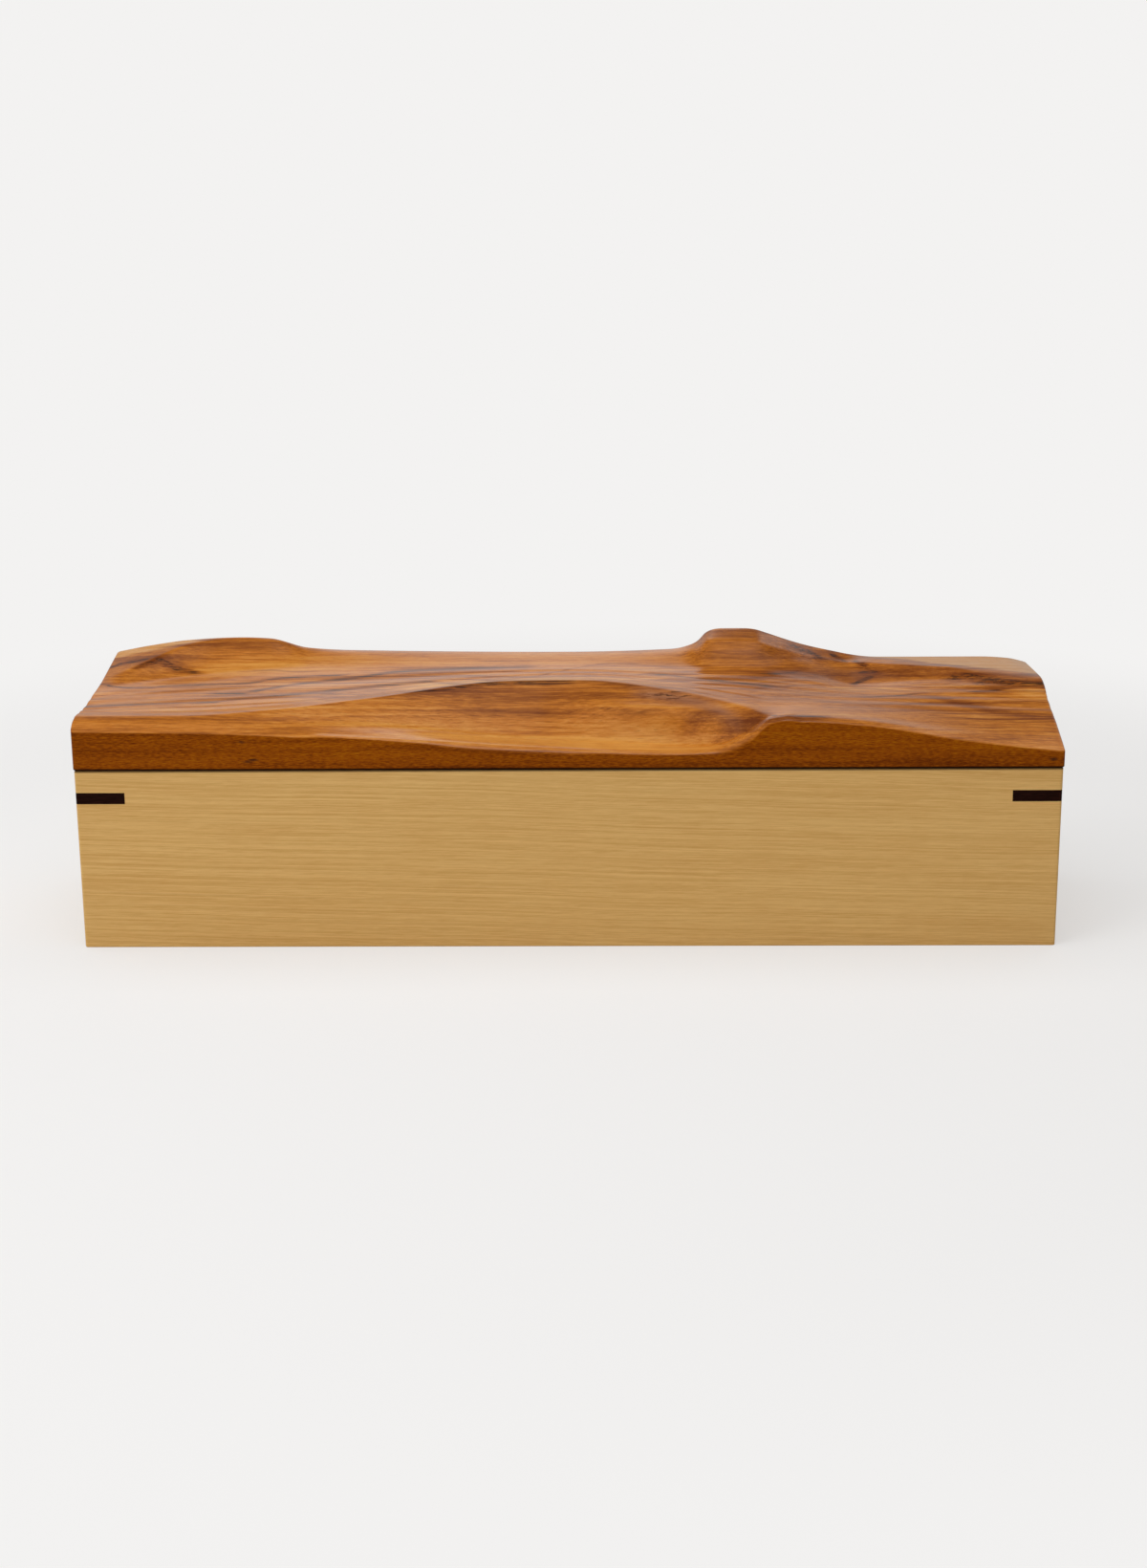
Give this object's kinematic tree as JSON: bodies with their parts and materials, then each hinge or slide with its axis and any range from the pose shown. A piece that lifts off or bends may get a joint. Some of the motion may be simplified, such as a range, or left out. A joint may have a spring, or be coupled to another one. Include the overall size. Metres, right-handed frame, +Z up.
{
  "type": "keepsake box",
  "caption": "Long wooden keepsake box of mitred, keyed boards with a thick lift-off lid carved in flowing ridges and hollows.",
  "frame": {"origin": "middle of the underside, on the surface that the box stands on", "axes": "+X along the length to the right as seen from the front, +Y from the front to the back, +Z up"},
  "size_m": [0.2806, 0.0706, 0.0785],
  "materials": {
    "pale_board_wood": "pale straight-grained softwood, planed and oiled",
    "dark_key_wood": "near-black hardwood slips, sanded flush and oiled",
    "figured_lid_wood": "orange-brown figured hardwood with dark streaks, carved, sanded and oiled"
  },
  "bodies": {
    "box": {"front_board": "pale_board_wood", "back_board": "pale_board_wood", "left_end_board": "pale_board_wood", "right_end_board": "pale_board_wood", "bottom_panel": "pale_board_wood", "key_front_left": "dark_key_wood", "key_front_right": "dark_key_wood", "key_back_left": "dark_key_wood", "key_back_right": "dark_key_wood"},
    "lid": {"carved_lid": "figured_lid_wood"}
  },
  "joints": [
    {"name": "lid_lift", "type": "slide", "parent": "box", "child": "lid", "axis": [0, 0, 1], "range_m": [0, 0.1]}
  ]
}
